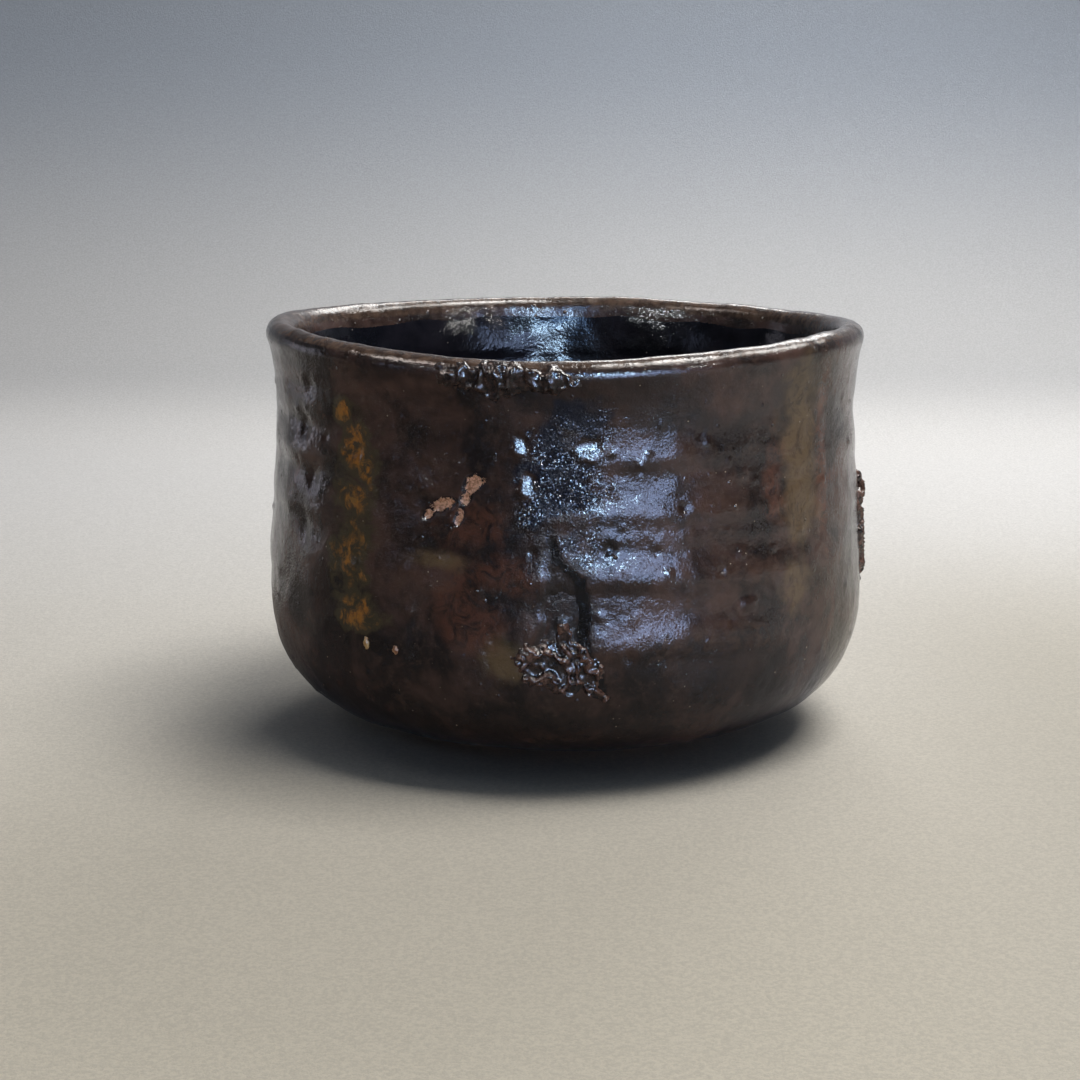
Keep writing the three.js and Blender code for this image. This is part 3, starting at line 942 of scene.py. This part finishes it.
outer_coat()
inner_coat()
clay_cup()
foot()
crust("front_boil", "front_crust", (-1, 26), (10.5, 8.5), front_outline, boiled(81, 1.4, 1.7), 84)
crust("lip_boil", "lip_crust", (-11.5, 77.9), (16.5, 3.8), lip_outline, boiled(85, 1.0, 1.9), 88, 0.35)
crust("side_boil", "side_crust", (86, 41.5), (6, 13), side_outline, boiled(91, 1.3, 1.8), 94)
grain("cream_grain", "cream_stone_grain", CREAM_STONE, "cream_stone")
grain("peach_grain", "peach_stone_grain", PEACH_STONE, "peach_stone")


# ---- The studio ----

def paper_finish():
    f = Finish("pale_paper", roughness=0.8, ior=1.4)
    fibre = f.mottle(0.7, 3, 0.8, seed=20.0)
    place = f.add("ShaderNodeSeparateXYZ", Vector=f.where).outputs
    # Painted light: the paper turns from warm in front to grey behind, for the colour of the light falling
    # on it.
    colour = f.tint(f.step(place["Y"], -0.2, 0.3), (0.6, 0.55, 0.45), (0.67, 0.66, 0.65))
    # Painted shade: the floor towards the front right is darker.
    right = f.times(f.step(place["X"], 0.03, 0.12), f.step(place["Y"], 0.2, 0.0))
    colour = f.tint(right, colour, (0.5, 0.465, 0.395))
    # Painted shade: the backdrop darkens and turns blue as it rises.
    colour = f.tint(f.step(place["Z"], 0.0, 0.02), colour, (0.48, 0.48, 0.485))
    colour = f.tint(f.step(place["Z"], 0.02, 0.15), colour, (0.28, 0.315, 0.37))
    colour = f.tint(f.step(fibre, 0.35, 0.65, 0.0, 0.2), colour, (0.1, 0.1, 0.1))
    return f.finished(colour, None, f.bump(fibre, 0.15))


def sweep():
    """A pale paper that lies flat under the bowl and curves up behind it."""
    bm = bmesh.new()
    flat = line((-1.6, 0), (0.3, 0), 6)
    curve = arc(0.3, 0.2, 0.2, 0.2, -90, 0, 24)
    wall = line((0.5, 0.2), (0.5, 2.2), 4)
    points = joined(flat, curve, wall)
    bmesh.ops.create_grid(bm, x_segments=2, y_segments=len(points) - 1, size=1)
    for v in bm.verts:
        y, z = points[round((v.co.y + 1) / 2 * (len(points) - 1))]
        v.co = (v.co.x * 2.2, y, z)
    mesh = bpy.data.meshes.new("paper_sweep")
    bm.to_mesh(mesh)
    bm.free()
    mesh.polygons.foreach_set("use_smooth", [True] * len(mesh.polygons))
    mesh.materials.append(paper_finish())
    paper = bpy.data.objects.new("paper_sweep", mesh)
    bpy.context.scene.collection.objects.link(paper)


def panel(name, azimuth, elevation, distance, width, height, radiance, colour, diffuse=True, glossy=True):
    """A soft rectangular light that faces the bowl from an azimuth and elevation in degrees."""
    light = bpy.data.lights.new(name, "AREA")
    light.shape = "RECTANGLE"
    light.size = width
    light.size_y = height
    light.energy = radiance * math.pi * width * height
    light.color = colour
    lamp = bpy.data.objects.new(name, light)
    a, e = math.radians(azimuth), math.radians(elevation)
    way = Vector((math.sin(a) * math.cos(e), -math.cos(a) * math.cos(e), math.sin(e)))
    middle = Vector((0, 0, 45 * MM))
    lamp.location = middle + way * distance
    lamp.rotation_euler = way.to_track_quat("Z", "Y").to_euler()
    lamp.visible_diffuse = diffuse
    lamp.visible_glossy = glossy
    lamp.visible_camera = False
    bpy.context.scene.collection.objects.link(lamp)
    return lamp


def dark_card(name, corner, opposite, left, right):
    """A dim card on the floor, which only reflections see, to keep the wall's reflections deep: painted
    shade in the reflected floor.
    """
    bm = bmesh.new()
    bmesh.ops.create_grid(bm, x_segments=1, y_segments=1, size=0.5)
    middle = [(a + b) / 2 for a, b in zip(corner, opposite)]
    bmesh.ops.scale(bm, vec=(opposite[0] - corner[0], opposite[1] - corner[1], 1), verts=bm.verts)
    bmesh.ops.translate(bm, vec=(*middle, CARD_LIFT), verts=bm.verts)
    mesh = bpy.data.meshes.new(name)
    bm.to_mesh(mesh)
    bm.free()
    f = Finish(name, roughness=1.0)
    across = f.add("ShaderNodeSeparateXYZ", Vector=f.where).outputs["X"]
    shade = f.tint(f.step(across, -0.15, 0.35), left, right)
    mesh.materials.append(f.finished(shade))
    card = bpy.data.objects.new(name, mesh)
    card.visible_camera = False
    card.visible_diffuse = False
    card.visible_shadow = False
    bpy.context.scene.collection.objects.link(card)


def studio():
    sweep()
    # Painted shade: the floor in front of the bowl, as reflections see it, near black at the left and pale
    # at the right.
    dark_card("floor_card", (-1.2, -1.5), (1.2, 0.0), (0.045, 0.04, 0.037), (0.85, 0.83, 0.82))
    # Painted shadow: the bowl's shadow on the floor to its left, as the wall's reflections see it.
    dark_card("left_card", (-0.4, 0.0), (-0.055, 0.1), (0.14, 0.12, 0.1), (0.14, 0.12, 0.1))
    panel("key", 74, 70, 1.2, 0.62, 0.62, 9.8, (1.0, 0.975, 0.94))
    panel("pool", 163, 36, 0.55, 0.3, 0.16, 8.5, (1.0, 0.99, 0.97))
    panel("side_glint", 114, 45, 1.1, 0.34, 0.4, 15.0, (1.0, 0.97, 0.93), diffuse=False)
    panel("top_glint", 102, 73, 1.1, 0.3, 0.3, 26.0, (1.0, 0.98, 0.95), diffuse=False)
    panel("spark", 50, 26, 1.1, 0.04, 0.04, 330.0, (1.0, 0.98, 0.95), diffuse=False)
    panel("left_spark", -40, 27, 1.1, 0.05, 0.05, 420.0, (0.9, 0.95, 1.0), diffuse=False)
    panel("facet_pane", -3, 2, 1.0, 0.13, 0.12, 7.0, (0.85, 0.88, 1.0), diffuse=False)
    panel("window", 23, 7, 1.1, 0.54, 0.36, 10.2, (0.45, 0.6, 1.0), diffuse=False)
    panel("left_window", -62, 10, 1.1, 0.1, 0.18, 3.0, (0.55, 0.66, 1.0), diffuse=False)
    panel("window_rim", 26, 6, 1.12, 0.8, 0.5, 0.8, (0.6, 0.7, 1.0), diffuse=False)
    panel("blue_pane", -6, 6, 1.15, 0.26, 0.4, 0.9, (0.5, 0.66, 1.0), diffuse=False)
    panel("sky_pane", 4, 22, 1.2, 0.3, 0.14, 22.0, (0.3, 0.53, 1.0), diffuse=False)
    panel("glint_pane", 12, 17, 1.0, 0.11, 0.11, 125.0, (0.52, 0.76, 1.0), diffuse=False)
    panel("left_top", -80, 50, 1.1, 0.4, 0.24, 14.0, (1.0, 0.88, 0.82), diffuse=False)
    panel("left_pane", -113, 5, 0.6, 0.08, 0.2, 2.3, (0.88, 0.85, 1.0), diffuse=False)
    panel("fill", 20, 60, 1.3, 0.6, 0.6, 0.55, (0.75, 0.86, 1.0), glossy=False)
    world = bpy.data.worlds.new("room")
    world.use_nodes = True
    background = world.node_tree.nodes["Background"]
    background.inputs["Color"].default_value = (0.78, 0.87, 1.0, 1)
    background.inputs["Strength"].default_value = 0.055
    bpy.context.scene.world = world


def camera():
    lens = bpy.data.cameras.new("camera")
    lens.lens = 72
    lens.sensor_width = 36
    eye = bpy.data.objects.new("camera", lens)
    eye.location = (0, -0.4375, 0.132)
    eye.rotation_euler = (math.radians(90 - 12.27), 0, math.radians(0.7))
    bpy.context.scene.collection.objects.link(eye)
    bpy.context.scene.camera = eye


studio()
camera()
bpy.context.scene.view_settings.view_transform = "Standard"
